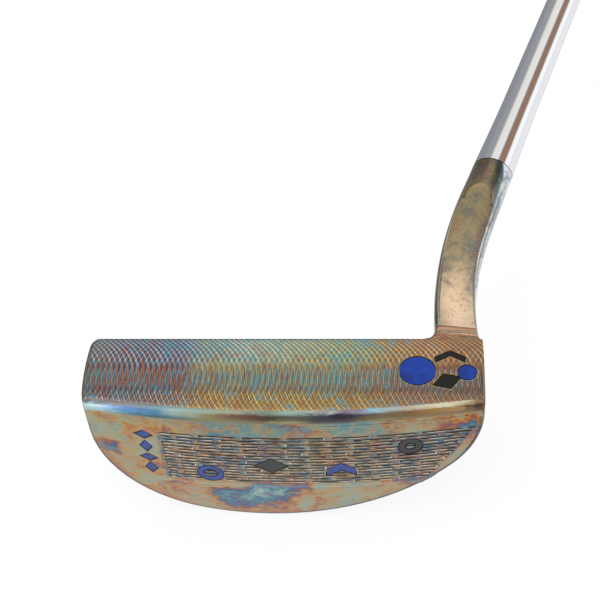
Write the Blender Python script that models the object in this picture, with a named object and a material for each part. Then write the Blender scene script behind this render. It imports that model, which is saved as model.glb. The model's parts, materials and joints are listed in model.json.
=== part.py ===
"""Heel-shafted mid-mallet putter, right-handed, lying on its back.

The head is modelled in its own axes: +X to the heel, +Y to the rear, +Z up the face,
with the origin on the face plane at the top line. The shaft, epoxy and grip are turned
about the shaft axis. One empty carries everything and lays the club on the floor, so that
the flange and the grip both touch it.
"""
import math

import bmesh
import bpy
from mathutils import Matrix, Vector

MM = 0.001

# --- head plan: straight face, two straight ends, two corner arcs and one rear arc ---
TOE_X = -53.5 * MM
HEEL_X = 54.1 * MM
TOE_CORNER_R = 36.0 * MM
HEEL_CORNER_R = 30.0 * MM
REAR_R = 75.0 * MM
REAR_CENTRE_X = -9.0 * MM
HEAD_DEPTH = 49.6 * MM
FACE_EDGE_R = 0.8 * MM

# --- head heights and curvatures ---
SOLE_DROP = 28.0 * MM
SOLE_LOW_Y = 14.0 * MM
CAMBER_R = 290.0 * MM
ROCKER_R = 220.0 * MM
LEADING_R = 2.7 * MM
SOLE_EDGE_R = 1.2 * MM
TOE_TOP_R = 4.0 * MM
TOP_EDGE_R = 0.4 * MM
TOE_BELLY = 1.2 * MM
HEEL_BELLY = 0.2 * MM
BELLY_Z = -9.0 * MM

# --- cavity behind the top line ---
TOPLINE_WIDTH = 8.6 * MM
FLANGE_THICKNESS = 4.2 * MM
CAVITY_R = 4.0 * MM
RIB_WIDTH = 9.0 * MM
RIB_HEIGHT = 1.6 * MM
RIB_SLOPE = 1.4 * MM
SIGHT_WIDTH = 2.2 * MM
SIGHT_DEPTH = 0.9 * MM
SIGHT_LENGTH = 26.0 * MM
SIGHT_START = 15.0 * MM

# --- flow neck ---
NECK_X = 47.1 * MM
NECK_Y = 4.25 * MM
NECK_WIDTH = 11.6 * MM
NECK_DEPTH = 8.4 * MM
NECK_EDGE_R = 1.5 * MM
NECK_FILLET_WIDTH = 3.4 * MM
NECK_FILLET_HEIGHT = 4.6 * MM
NECK_HEEL_FLARE = 1.2 * MM
NECK_RISE = 29.0 * MM
NECK_SWEEP = -1.6 * MM
NECK_LEAD = 16.0 * MM
NECK_SWELL = 0.2 * MM
COLLAR_HEIGHT = 60.2 * MM
COLLAR_X = 58.9 * MM
COLLAR_Y = -5.9 * MM
COLLAR_R = 6.1 * MM
COLLAR_STRAIGHT = 5.0 * MM
FACET_R = 111.0 * MM
FACET_YAW = math.radians(4.0)
FACET_START = 2.6 * MM
TONGUE_TIP = 50.2 * MM
TONGUE_R = 5.0 * MM
TONGUE_DRAFT = 0.3
GROOVE_R = 2.0 * MM
GROOVE_DEPTH = 0.35 * MM
GROOVE_Z = 3.0 * MM

# --- shaft axis ---
LIE_LEAN = math.radians(18.3)
LOFT = math.radians(3.0)

# --- shaft, post and epoxy ---
POST_R = 4.2 * MM
POST_LENGTH = 26.0 * MM
POST_ROUND = 0.4 * MM
EPOXY_WALL = 0.35 * MM
EPOXY_LENGTH = 24.0 * MM
BOND_GAP = 0.08 * MM
BUTT_GAP = 0.3 * MM
SHAFT_LENGTH = 790.0 * MM
SHAFT_WALL = 0.6 * MM
FLARE_LENGTH = 30.0 * MM
THROAT_R = 5.5 * MM
STEP_START = 330.0 * MM
STEP_PITCH = 45.0 * MM
STEP_COUNT = 5
STEP_RISE = 0.32 * MM
STEP_TAPER = 3.0 * MM

# --- grip ---
GRIP_LENGTH = 267.0 * MM
GRIP_MOUTH_R = 9.6 * MM
GRIP_WIDTH = 26.0 * MM
GRIP_THICKNESS = 23.5 * MM
TAPE_WALL = 0.4 * MM
TAPE_LENGTH = 255.0 * MM
TAPE_GAP = 0.06 * MM
CAP_THICKNESS = 4.0 * MM
CAP_ROUND = 1.6 * MM
VENT_R = 1.6 * MM
CAP_GAP = 0.3 * MM

# --- enamel fills ---
FILL_THICKNESS = 0.45 * MM
FILL_GAP = 0.3 * MM
FILL_SINK = 0.05 * MM

ROUND = 32
CUTTER_REACH = 12.0 * MM


def clear_scene():
    for thing in list(bpy.data.objects):
        bpy.data.objects.remove(thing, do_unlink=True)


def material(name, colour, rough, metal):
    mat = bpy.data.materials.new(name)
    mat.use_nodes = True
    shader = mat.node_tree.nodes["Principled BSDF"]
    shader.inputs["Base Color"].default_value = (*colour, 1.0)
    shader.inputs["Roughness"].default_value = rough
    shader.inputs["Metallic"].default_value = metal
    mat.diffuse_color = (*colour, 1.0)
    return mat


def new_object(name, mesh, mat=None, parent=None):
    obj = bpy.data.objects.new(name, mesh)
    bpy.context.collection.objects.link(obj)
    if mat:
        mesh.materials.append(mat)
    if parent:
        obj.parent = parent
    return obj


def mesh_from(bm, name, smooth_angle=None):
    bmesh.ops.recalc_face_normals(bm, faces=bm.faces)
    mesh = bpy.data.meshes.new(name)
    bm.to_mesh(mesh)
    bm.free()
    if smooth_angle:
        mesh.shade_smooth()
        mesh.set_sharp_from_angle(angle=math.radians(smooth_angle))
    return mesh


def skin(bm, rings, closed=False):
    """Bridge rings of equal vertex count into a side wall."""
    loops = [[bm.verts.new(p) for p in ring] for ring in rings]
    pairs = list(zip(loops, loops[1:]))
    if closed:
        pairs.append((loops[-1], loops[0]))
    count = len(loops[0])
    for low, high in pairs:
        for i in range(count):
            j = (i + 1) % count
            bm.faces.new((low[i], low[j], high[j], high[i]))
    return loops


def cut(target, cutter, operation="DIFFERENCE"):
    mod = target.modifiers.new(cutter.name, "BOOLEAN")
    mod.operation = operation
    mod.solver = "EXACT"
    mod.object = cutter
    cutter.hide_render = True
    cutter.display_type = "WIRE"


def circle(radius, count=ROUND, phase=0.0):
    return [(radius * math.cos(phase + math.tau * i / count),
             radius * math.sin(phase + math.tau * i / count)) for i in range(count)]


def arc(centre, radius, start, end, count):
    """Points of an arc, without its last one."""
    return [(centre[0] + radius * math.cos(start + (end - start) * i / count),
             centre[1] + radius * math.sin(start + (end - start) * i / count))
            for i in range(count)]


# ------------------------------------------------------------------ head plan
def plan_arcs():
    """Centres and join angles of the rear arc and of both corner arcs."""
    rear = (REAR_CENTRE_X, HEAD_DEPTH - REAR_R)

    def corner(side_x, radius, sign):
        cx = side_x - sign * radius
        cy = rear[1] + math.sqrt((REAR_R - radius) ** 2 - (cx - rear[0]) ** 2)
        return (cx, cy), math.atan2(cy - rear[1], cx - rear[0])

    toe, toe_join = corner(TOE_X, TOE_CORNER_R, -1)
    heel, heel_join = corner(HEEL_X, HEEL_CORNER_R, 1)
    return rear, toe, toe_join, heel, heel_join


def plan_outline(inset=0.0):
    """Closed plan outline, counter-clockwise from the toe end of the face."""
    rear, toe, toe_join, heel, heel_join = plan_arcs()
    edge = max(FACE_EDGE_R - inset, 0.02 * MM)
    left, right, front = TOE_X + inset, HEEL_X - inset, inset
    points = []
    low = [-1.0, -0.985, -0.968, -0.945, -0.91, -0.86, -0.78, -0.66, -0.52, -0.36, -0.18]
    steps = low + [0.0] + [-s for s in reversed(low)]
    half = (right - left) / 2 - edge
    middle = (right + left) / 2
    points += [(middle + s * half, front) for s in steps[:-1]]
    points += arc((right - edge, front + edge), edge, -math.pi / 2, 0, 3)
    points += [(right, front + edge + (heel[1] - front - edge) * i / 3) for i in range(3)]
    points += arc(heel, HEEL_CORNER_R - inset, 0, heel_join, 12)
    points += arc(rear, REAR_R - inset, heel_join, toe_join, 20)
    points += arc(toe, TOE_CORNER_R - inset, toe_join, math.pi, 13)
    points += [(left, toe[1] + (front + edge - toe[1]) * i / 5) for i in range(5)]
    points += arc((left + edge, front + edge), edge, math.pi, 1.5 * math.pi, 3)
    return points


def sole_z(x, y):
    return -SOLE_DROP + x * x / (2 * CAMBER_R) + (y - SOLE_LOW_Y) ** 2 / (2 * ROCKER_R)


def belly(x, z):
    """Outward bulge of the end walls between sole and top line."""
    span = (z - BELLY_Z) / (SOLE_DROP / 2)
    bulge = max(0.0, 1 - span * span)
    if x < 0:
        return -TOE_BELLY * bulge * max(0.0, (x / TOE_X - 0.9) * 10) ** 2
    return HEEL_BELLY * bulge * max(0.0, (x / HEEL_X - 0.9) * 10) ** 2


def head_blank():
    """Solid block of the head: plan outline between the cambered sole and the top line."""
    outer = plan_outline()
    fillet = [LEADING_R if y < FACE_EDGE_R * 1.01 and abs(x) < HEEL_X - 2 * FACE_EDGE_R
              else SOLE_EDGE_R for x, y in outer]
    count = len(outer)
    for _ in range(3):
        fillet = [(fillet[i - 1] + 2 * fillet[i] + fillet[(i + 1) % count]) / 4
                  for i in range(count)]
    insets = {r: plan_outline(r) for r in set(fillet)}
    inner = [insets[r][i] for i, r in enumerate(fillet)]
    rings = []
    focus = Vector((REAR_CENTRE_X / 2, HEAD_DEPTH * 0.42))
    for share in (0.14, 0.3, 0.47, 0.64, 0.82):
        ring = []
        for x, y in inner:
            flat = focus.lerp(Vector((x, y)), share)
            ring.append((flat.x, flat.y, sole_z(flat.x, flat.y)))
        rings.append(ring)
    for step in range(6):
        turn = math.radians(18 * step)
        ring = []
        for (bx, by), (ix, iy), r in zip(outer, inner, fillet):
            x = ix + (bx - ix) * math.sin(turn)
            y = iy + (by - iy) * math.sin(turn)
            ring.append((x, y, sole_z(ix, iy) + r * (1 - math.cos(turn))))
        rings.append(ring)
    tops = plan_outline(TOP_EDGE_R)
    wall_foot = rings[-1]
    for share in (0.12, 0.26, 0.42, 0.6, 0.8):
        ring = []
        for (x, y), below in zip(outer, wall_foot):
            z = below[2] + share * (-TOP_EDGE_R - below[2])
            ring.append((x + belly(x, z), y, z))
        rings.append(ring)
    for drop, inset in ((TOP_EDGE_R, 0.0), (0.0, 1.0)):
        ring = []
        for (x, y), (tx, ty) in zip(outer, tops):
            ring.append((x + (tx - x) * inset + belly(x, -drop), y + (ty - y) * inset, -drop))
        rings.append(ring)
    bm = bmesh.new()
    loops = skin(bm, rings)
    centre = bm.verts.new((focus.x, focus.y, sole_z(focus.x, focus.y)))
    for i in range(count):
        bm.faces.new((loops[0][(i + 1) % count], loops[0][i], centre))
    bm.faces.new(loops[-1])
    return mesh_from(bm, "putter_head", 32)


def toe_corner_cutter():
    """Rounds the top line down into the toe end."""
    side = TOE_X + belly(TOE_X, -TOE_TOP_R)
    centre = (side + TOE_TOP_R, -TOE_TOP_R)
    far = side - CUTTER_REACH
    profile = arc(centre, TOE_TOP_R, math.pi / 2, math.radians(198), 12)
    profile += [(far, -TOE_TOP_R * 1.5), (far, CUTTER_REACH), (centre[0], CUTTER_REACH)]
    bm = bmesh.new()
    loops = skin(bm, [[(x, y, z) for x, z in profile]
                      for y in (-CUTTER_REACH, HEAD_DEPTH / 2)])
    bm.faces.new(loops[0])
    bm.faces.new(loops[-1])
    return mesh_from(bm, "toe_corner_cutter")


def cavity_cutter():
    """Everything above the flange and behind the top line, with the sight rib left proud."""
    columns = 25
    reach = 62.0 * MM
    xs = [-reach + 2 * reach * i / (columns - 1) for i in range(columns)]
    rib = RIB_WIDTH / 2
    xs = sorted([x for x in xs if abs(x) > rib + 2 * RIB_SLOPE] +
                [s * (rib + d) for s in (-1, 1) for d in (0.0, RIB_SLOPE / 2, RIB_SLOPE)])
    ys = [TOPLINE_WIDTH + CAVITY_R * (1 - math.cos(math.radians(18 * i))) for i in range(6)]
    last = HEAD_DEPTH + 6 * MM
    ys += [ys[-1] + (last - ys[-1]) * (i + 1) / 6 for i in range(6)]
    lid = CUTTER_REACH
    grid = []
    bm = bmesh.new()
    for y in ys:
        near = min(1.0, (y - TOPLINE_WIDTH) / CAVITY_R)
        rise = CAVITY_R * (1 - math.sqrt(max(0.0, 1 - (1 - near) ** 2)))
        row = []
        for x in xs:
            slope = min(1.0, max(0.0, (rib + RIB_SLOPE - abs(x)) / RIB_SLOPE))
            ease = slope * slope * (3 - 2 * slope)
            z = sole_z(x, y) + FLANGE_THICKNESS + max(rise, RIB_HEIGHT * ease)
            row.append(bm.verts.new((x, y, z)))
        grid.append(row)
    top = [[bm.verts.new((x, y, lid)) for x in xs] for y in ys]
    for layer in (grid, top):
        for a, b in zip(layer, layer[1:]):
            for i in range(len(xs) - 1):
                bm.faces.new((a[i], a[i + 1], b[i + 1], b[i]))

    def wall(low, high):
        for i in range(len(low) - 1):
            bm.faces.new((low[i], low[i + 1], high[i + 1], high[i]))

    wall(grid[0], top[0])
    wall(grid[-1], top[-1])
    wall([r[0] for r in grid], [r[0] for r in top])
    wall([r[-1] for r in grid], [r[-1] for r in top])
    return mesh_from(bm, "cavity_cutter")


# ------------------------------------------------------------------ neck
def shaft_direction():
    return Vector((math.sin(LIE_LEAN) * math.cos(LOFT), -math.sin(LOFT),
                   math.cos(LIE_LEAN) * math.cos(LOFT)))


def shaft_frame():
    """Axes of the shaft: Z up the shaft, Y to the rear of the head."""
    z = shaft_direction()
    y = (Vector((0, 1, 0)) - z * z.y).normalized()
    x = y.cross(z)
    frame = Matrix((x, y, z)).transposed().to_4x4()
    frame.translation = Vector((COLLAR_X, COLLAR_Y, COLLAR_HEIGHT))
    return frame


def bezier(p0, p1, p2, p3, t):
    u = 1 - t
    point = p0 * u ** 3 + p1 * 3 * u * u * t + p2 * 3 * u * t * t + p3 * t ** 3
    slope = (p1 - p0) * 3 * u * u + (p2 - p1) * 6 * u * t + (p3 - p2) * 3 * t * t
    return point, slope.normalized()


def neck_section(centre, direction, toe_half, heel_half, depth_half, edge_r):
    """Rounded-rectangle section across the neck; with all four sizes equal it is round."""
    y = (Vector((0, 1, 0)) - direction * direction.y).normalized()
    x = y.cross(direction)
    points = []
    for i in range(ROUND):
        turn = math.tau * (i + 0.5) / ROUND
        c, s = math.cos(turn), math.sin(turn)
        wide = heel_half if c > 0 else toe_half
        r = min(edge_r, wide, depth_half)
        px = math.copysign(wide - r, c) + c * r
        py = math.copysign(depth_half - r, s) + s * r
        points.append(centre + x * px + y * py)
    return points


def smooth(share):
    share = min(1.0, max(0.0, share))
    return share * share * (3 - 2 * share)


def neck_line():
    """Control points of the neck's centre line, from the top line to below the collar."""
    up = shaft_direction()
    start = Vector((NECK_X, NECK_Y, 0))
    bend = Vector((COLLAR_X, COLLAR_Y, COLLAR_HEIGHT)) - up * COLLAR_STRAIGHT
    rise = start + Vector((NECK_SWEEP, 0, NECK_RISE))
    return start, rise, bend - up * NECK_LEAD, bend


def neck_mesh():
    """Flow neck, collar and shaft post: sections carried along one smooth centre line."""
    collar = Vector((COLLAR_X, COLLAR_Y, COLLAR_HEIGHT))
    up = shaft_direction()
    start, rise, lead, bend = neck_line()
    width, depth = NECK_WIDTH / 2, NECK_DEPTH / 2
    vertical = Vector((0, 0, 1))
    rings = []
    for height in [-5.0 * MM] + [NECK_FILLET_HEIGHT * (1 - math.cos(math.radians(15 * i)))
                                 for i in range(6)]:
        near = 1 - max(0.0, height) / NECK_FILLET_HEIGHT
        flare = 1 - math.sqrt(1 - near * near) if near < 1 else 1.0
        rings.append(neck_section(start + vertical * height, vertical,
                                  width + NECK_FILLET_WIDTH * flare,
                                  width + NECK_HEEL_FLARE * flare, depth, NECK_EDGE_R))
    steps = 18
    for i in range(1, steps + 1):
        t = i / steps
        point, slope = bezier(start, rise, lead, bend, t)
        if point.z < NECK_FILLET_HEIGHT + 1.2 * MM:
            continue
        grow = smooth(t * 1.15)
        swell = NECK_SWELL * math.sin(math.pi * t * t)
        half = width + (COLLAR_R - width) * grow + swell
        deep = depth + (COLLAR_R - depth) * smooth(t * 1.8) + swell
        edge = NECK_EDGE_R + (half - NECK_EDGE_R) * smooth(t * 2.6)
        rings.append(neck_section(point, slope, half, half, deep, edge))
    rings.append(neck_section(collar, up, COLLAR_R, COLLAR_R, COLLAR_R, COLLAR_R))
    for reach, radius in ((0.0, POST_R + POST_ROUND), (BUTT_GAP, POST_R),
                          (POST_LENGTH - POST_ROUND, POST_R),
                          (POST_LENGTH, POST_R - POST_ROUND)):
        rings.append(neck_section(collar + up * reach, up, radius, radius, radius, radius))
    bm = bmesh.new()
    loops = skin(bm, rings)
    bm.faces.new(loops[0])
    bm.faces.new(loops[-1])
    return mesh_from(bm, "neck_form")


def bar_along_x(name, radius, y, z, start, end, count):
    """Cylinder along X, for cuts that run heel to toe."""
    bm = bmesh.new()
    rings = [[(x, y + a, z + b) for a, b in circle(radius, count, math.pi / count)]
             for x in (start, end)]
    loops = skin(bm, rings)
    bm.faces.new(loops[0])
    bm.faces.new(loops[-1])
    return mesh_from(bm, name)


def tongue_mesh():
    """Wedge that ends the facet in a round tongue: open below, half round and drafted above."""
    line = neck_line()
    spot = min((bezier(*line, i / 60)[0] for i in range(61)), key=lambda p: abs(p.z - TONGUE_TIP))
    wide = 3 * NECK_WIDTH
    lean = Matrix.Rotation(LIE_LEAN, 3, "Y")
    tip = Vector((spot.x, 0, TONGUE_TIP))
    rings = []
    for y in (0.5 * MM, -FACET_R / 2):
        radius = TONGUE_R - TONGUE_DRAFT * (y - COLLAR_Y + COLLAR_R)
        outline = arc((0, 0), radius, 0, math.pi, 18)
        outline += [(-radius, 0), (-wide, 0), (-wide, -3 * TONGUE_TIP / 2),
                    (wide, -3 * TONGUE_TIP / 2), (wide, 0)]
        rings.append([tip + lean @ Vector((a, 0, b - TONGUE_R)) + Vector((0, y, 0))
                      for a, b in outline])
    bm = bmesh.new()
    loops = skin(bm, rings)
    bm.faces.new(loops[0])
    bm.faces.new(loops[-1])
    return mesh_from(bm, "tongue_form")


# ------------------------------------------------------------------ enamel fills
def prism(name, outline, low, high, hole=None):
    """Extruded outline; hole is an inner outline with the same number of points."""
    bm = bmesh.new()
    if hole:
        rings = [[(x, y, z) for x, y in edge] for edge, z in
                 ((outline, low), (outline, high), (hole, high), (hole, low))]
        skin(bm, rings, closed=True)
    else:
        loops = skin(bm, [[(x, y, z) for x, y in outline] for z in (low, high)])
        bm.faces.new(loops[0])
        bm.faces.new(loops[-1])
    return mesh_from(bm, name)


def grown(outline, gap):
    """Outline moved outwards by gap along its corner normals."""
    count = len(outline)
    area = sum(outline[i - 1][0] * outline[i][1] - outline[i][0] * outline[i - 1][1]
               for i in range(count))
    side = 1 if area > 0 else -1
    moved = []
    for i in range(count):
        p = Vector(outline[i])
        a = (p - Vector(outline[i - 1])).normalized()
        b = (Vector(outline[(i + 1) % count]) - p).normalized()
        na, nb = Vector((a.y, -a.x)) * side, Vector((b.y, -b.x)) * side
        mid = (na + nb).normalized()
        moved.append(tuple(p + mid * (gap / max(0.4, mid.dot(na)))))
    return moved


def add_fill(name, head, parent, mat, place, outline, hole=None):
    """Enamel fill and the pocket that holds it; place has +Z out of the surface."""
    top = -FILL_SINK
    floor = top - FILL_THICKNESS
    fill = new_object(name, prism(name, outline, floor, top, hole), mat, parent)
    fill.matrix_local = place
    pocket = new_object(name + "_pocket", prism(
        name + "_pocket", grown(outline, FILL_GAP), floor - FILL_GAP, 2 * MM,
        grown(hole, -FILL_GAP) if hole else None), None, parent)
    pocket.matrix_local = place
    cut(head, pocket)


def sole_place(x, y, turn=0.0):
    """Frame on the sole at (x, y), with +Z along the outward normal."""
    out = Vector((x / CAMBER_R, (y - SOLE_LOW_Y) / ROCKER_R, -1)).normalized()
    across = (Vector((1, 0, 0)) - out * out.x).normalized()
    frame = Matrix((across, out.cross(across), out)).transposed().to_4x4()
    frame.translation = Vector((x, y, sole_z(x, y)))
    return frame @ Matrix.Rotation(turn, 4, "Z")


def face_place(x, z, turn=0.0):
    """Frame on the face plane at (x, z), with +Z out of the face."""
    frame = Matrix(((1, 0, 0), (0, 0, -1), (0, 1, 0))).to_4x4()
    frame.translation = Vector((x, 0, z))
    return frame @ Matrix.Rotation(turn, 4, "Z")


def diamond(width, height):
    return [(width / 2, 0), (0, height / 2), (-width / 2, 0), (0, -height / 2)]


def chevron(width, height, thick):
    return [(width / 2, -height / 2), (width / 2, -height / 2 + thick), (0, height / 2),
            (-width / 2, -height / 2 + thick), (-width / 2, -height / 2),
            (0, height / 2 - thick)]


# ------------------------------------------------------------------ shaft and grip
def shaft_radius(reach):
    """Outer radius at a distance along the shaft from the collar."""
    if reach < FLARE_LENGTH:
        share = 1 - reach / FLARE_LENGTH
        return THROAT_R + (COLLAR_R - THROAT_R) * share ** 1.3
    radius = THROAT_R - min(1.0, (reach - FLARE_LENGTH) / (60 * MM)) * 0.3 * MM
    steps = (reach - STEP_START) / STEP_PITCH
    for i in range(STEP_COUNT):
        radius += STEP_RISE * min(1.0, max(0.0, (steps - i) * STEP_PITCH / STEP_TAPER))
    return radius


def shaft_stations():
    stops = [BUTT_GAP] + [FLARE_LENGTH * i / 6 for i in range(1, 7)] + [FLARE_LENGTH + 60 * MM]
    for i in range(STEP_COUNT):
        start = STEP_START + i * STEP_PITCH
        stops += [start, start + STEP_TAPER]
    return stops + [SHAFT_LENGTH]


def turned_ring(radius, z):
    """Circle about the shaft axis, its corners in line with those of the neck sections."""
    return [(x, y, z) for x, y in circle(radius, ROUND, math.pi / ROUND)]


def turned(name, outer, inner, mat, parent):
    """Hollow turned body from (reach, radius) stations of its outside and its bore."""
    rings = [turned_ring(r, z) for z, r in outer]
    rings += [turned_ring(r, z) for z, r in reversed(inner)]
    bm = bmesh.new()
    skin(bm, rings, closed=True)
    return new_object(name, mesh_from(bm, name, 30), mat, parent)


def add_shaft(mat, parent):
    stops = shaft_stations()
    outer = [(z, shaft_radius(z)) for z in stops]
    bond = POST_R + EPOXY_WALL + 2 * BOND_GAP
    inner = [(z, max(bond, shaft_radius(z) - SHAFT_WALL) if z < POST_LENGTH
              else shaft_radius(z) - SHAFT_WALL) for z in stops]
    return turned("shaft", outer, inner, mat, parent)


def add_epoxy(mat, parent):
    low = 2 * BUTT_GAP
    inside = POST_R + BOND_GAP
    ends = (low, EPOXY_LENGTH)
    return turned("hosel_epoxy", [(z, inside + EPOXY_WALL) for z in ends],
                  [(z, inside) for z in ends], mat, parent)


def add_tape(mat, parent):
    end = SHAFT_LENGTH
    inside = shaft_radius(end) + TAPE_GAP
    ends = (end - TAPE_LENGTH, end)
    return turned("grip_tape", [(z, inside + TAPE_WALL) for z in ends],
                  [(z, inside) for z in ends], mat, parent)


def grip_outline(share):
    """Half width, front reach and rear reach of the grip at a share of its length."""
    ease = share * share * (3 - 2 * share)
    pistol = math.sin(math.pi * min(1.0, share * 1.25)) * 1.2 * MM
    half = GRIP_MOUTH_R + (GRIP_WIDTH / 2 - GRIP_MOUTH_R) * ease
    front = GRIP_MOUTH_R - 0.6 * MM + (GRIP_THICKNESS * 0.42 - GRIP_MOUTH_R) * ease
    rear = GRIP_MOUTH_R + (GRIP_THICKNESS * 0.58 - GRIP_MOUTH_R) * ease - pistol * (1 - share)
    return half, front, rear


def grip_ring(share, z, shrink=0.0):
    """Paddle section: rounded rear and a flat front for the thumbs."""
    half, front, rear = (v - shrink for v in grip_outline(share))
    flat = 1 - 0.75 * min(1.0, share * 3 + 0.15)
    ring = []
    for i in range(ROUND):
        turn = math.tau * (i + 0.5) / ROUND
        c, s = math.cos(turn), math.sin(turn)
        if s >= 0:
            ring.append((c * half, s * rear, z))
        else:
            bow = abs(s) ** (0.5 + 0.5 * flat)
            ring.append((math.copysign(abs(c) ** (0.5 + 0.5 * flat), c) * half,
                         -front * (bow if flat > 0.5 else min(bow, 0.92) / 0.92), z))
    return ring


def add_grip(mat, cap_mat, parent):
    end = SHAFT_LENGTH + 1.0 * MM
    start = end - GRIP_LENGTH
    bore = shaft_radius(SHAFT_LENGTH) + 2 * TAPE_GAP + TAPE_WALL
    shares = (0.0, 0.015, 0.06, 0.12, 0.2, 0.3, 0.4, 0.5, 0.6, 0.7, 0.8, 0.9, 1.0)
    rings = [grip_ring(s, start + s * GRIP_LENGTH, 1.2 * MM if s == 0.0 else 0.0)
             for s in shares]
    tape_start = SHAFT_LENGTH - TAPE_LENGTH
    throat = shaft_radius(SHAFT_LENGTH) + TAPE_GAP
    inner = [(end, bore), (tape_start - CAP_GAP, bore), (tape_start - CAP_GAP, throat),
             (start, throat)]
    rings += [turned_ring(r, z) for z, r in inner]
    bm = bmesh.new()
    skin(bm, rings, closed=True)
    new_object("grip", mesh_from(bm, "grip", 35), mat, parent)

    bm = bmesh.new()
    low = end + CAP_GAP
    rings = [turned_ring(VENT_R, low),
             grip_ring(1.0, low), grip_ring(1.0, low + CAP_THICKNESS - CAP_ROUND),
             grip_ring(1.0, low + CAP_THICKNESS - CAP_ROUND * 0.3, CAP_ROUND * 0.3),
             grip_ring(1.0, low + CAP_THICKNESS, CAP_ROUND),
             turned_ring(VENT_R, low + CAP_THICKNESS)]
    skin(bm, rings, closed=True)
    new_object("grip_end_cap", mesh_from(bm, "grip_end_cap", 35), cap_mat, parent)


# ------------------------------------------------------------------ lay the club down
def evaluated_points(names):
    graph = bpy.context.evaluated_depsgraph_get()
    points = []
    for name in names:
        obj = bpy.data.objects[name].evaluated_get(graph)
        mesh = obj.to_mesh()
        points += [obj.matrix_world @ v.co for v in mesh.vertices]
        obj.to_mesh_clear()
    return points


def lay_down(root):
    """Turn the club on its back, with head and grip both on the floor, and centre it."""
    bpy.context.view_layer.update()
    head = evaluated_points(["putter_head"])
    butt = evaluated_points(["grip", "grip_end_cap"])
    tilt = 0.0
    for _ in range(12):
        s, c = math.sin(tilt), math.cos(tilt)
        low_head = max(head, key=lambda p: p.y * c + p.z * s)
        low_butt = max(butt, key=lambda p: p.y * c + p.z * s)
        tilt = math.atan2(low_head.y - low_butt.y, low_butt.z - low_head.z)
    root.rotation_euler = (-math.pi / 2 - tilt, 0, 0)
    bpy.context.view_layer.update()
    every = evaluated_points([o.name for o in bpy.data.objects
                              if o.type == "MESH" and not o.hide_render])
    low = [min(p[i] for p in every) for i in range(3)]
    high = [max(p[i] for p in every) for i in range(3)]
    root.location = (-(low[0] + high[0]) / 2, -(low[1] + high[1]) / 2, -low[2])
    bpy.context.view_layer.update()
    print("lay tilt", round(math.degrees(tilt), 3), "root", [round(v, 5) for v in root.location],
          "size", [round(high[i] - low[i], 4) for i in range(3)])


def build():
    clear_scene()
    steel = material("torched_steel", (0.50, 0.38, 0.24), 0.32, 1.0)
    chrome = material("chrome_shaft", (0.72, 0.72, 0.74), 0.08, 1.0)
    resin = material("epoxy", (0.16, 0.13, 0.10), 0.5, 0.0)
    tape = material("tape", (0.72, 0.68, 0.58), 0.8, 0.0)
    rubber = material("grip_rubber", (0.02, 0.02, 0.022), 0.75, 0.0)
    blue = material("blue_enamel", (0.02, 0.07, 0.42), 0.45, 0.0)
    black = material("black_enamel", (0.02, 0.02, 0.022), 0.5, 0.0)
    white = material("white_enamel", (0.85, 0.85, 0.82), 0.45, 0.0)

    root = bpy.data.objects.new("club", None)
    bpy.context.collection.objects.link(root)
    axis = bpy.data.objects.new("shaft_axis", None)
    bpy.context.collection.objects.link(axis)
    axis.parent = root
    axis.matrix_local = shaft_frame()

    head = new_object("putter_head", head_blank(), steel, root)
    cut(head, new_object("toe_corner_cutter", toe_corner_cutter(), None, root))
    cut(head, new_object("cavity_cutter", cavity_cutter(), None, root))
    neck = new_object("neck_form", neck_mesh(), None, root)
    cut(head, neck, "UNION")
    facet = new_object("facet_cutter", bar_along_x(
        "facet_cutter", FACET_R, -FACET_R, 0, -3 * NECK_WIDTH, 3 * NECK_WIDTH, 220), None, root)
    facet.location = (NECK_X, 0, FACET_START)
    facet.rotation_euler = (0, LIE_LEAN, FACET_YAW)
    cut(facet, new_object("tongue_form", tongue_mesh(), None, root), "INTERSECT")
    cut(head, facet)
    groove_x = NECK_X - NECK_WIDTH
    cut(head, new_object("groove_cutter", bar_along_x(
        "groove_cutter", GROOVE_R, GROOVE_DEPTH - GROOVE_R, GROOVE_Z, groove_x,
        NECK_X + NECK_WIDTH, 28), None, root))

    sole_marks = (
        ("sole_fill_1", blue, -21.0, 26.5, 0, circle(3.6 * MM, 24), circle(2.0 * MM, 24)),
        ("sole_fill_2", black, -3.5, 21.5, 0, diamond(9.0 * MM, 6.4 * MM), None),
        ("sole_fill_3", blue, 15.5, 23.5, 0, chevron(8.0 * MM, 5.6 * MM, 3.0 * MM), None),
        ("sole_fill_4", black, 34.5, 14.5, 0, circle(3.2 * MM, 24), circle(1.5 * MM, 24)))
    for name, mat, x, y, turn, outline, hole in sole_marks:
        add_fill(name, head, root, mat, sole_place(x * MM, y * MM, math.radians(turn)),
                 outline, hole)
    for i in range(4):
        add_fill("toe_fill_%d" % (i + 1), head, root, blue,
                 sole_place(-37.8 * MM, (10.5 + 5.2 * i) * MM, math.radians(90 * (i % 2))),
                 diamond(4.6 * MM, 3.2 * MM))
    face_marks = (
        ("face_fill_1", blue, 36.4, -11.6, 0, circle(4.8 * MM, 28), None),
        ("face_fill_2", black, 44.2, -15.2, 20, diamond(7.6 * MM, 5.2 * MM), None),
        ("face_fill_3", blue, 49.6, -12.2, 0, circle(2.5 * MM, 20), None),
        ("face_fill_4", black, 45.2, -6.6, 0, chevron(8.0 * MM, 3.8 * MM, 1.5 * MM), None))
    for name, mat, x, z, turn, outline, hole in face_marks:
        add_fill(name, head, root, mat, face_place(x * MM, z * MM, math.radians(turn)),
                 outline, hole)

    add_sight_line(head, root, white)
    add_shaft(chrome, axis)
    add_epoxy(resin, axis)
    add_tape(tape, axis)
    add_grip(rubber, rubber, axis)
    lay_down(root)


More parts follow.
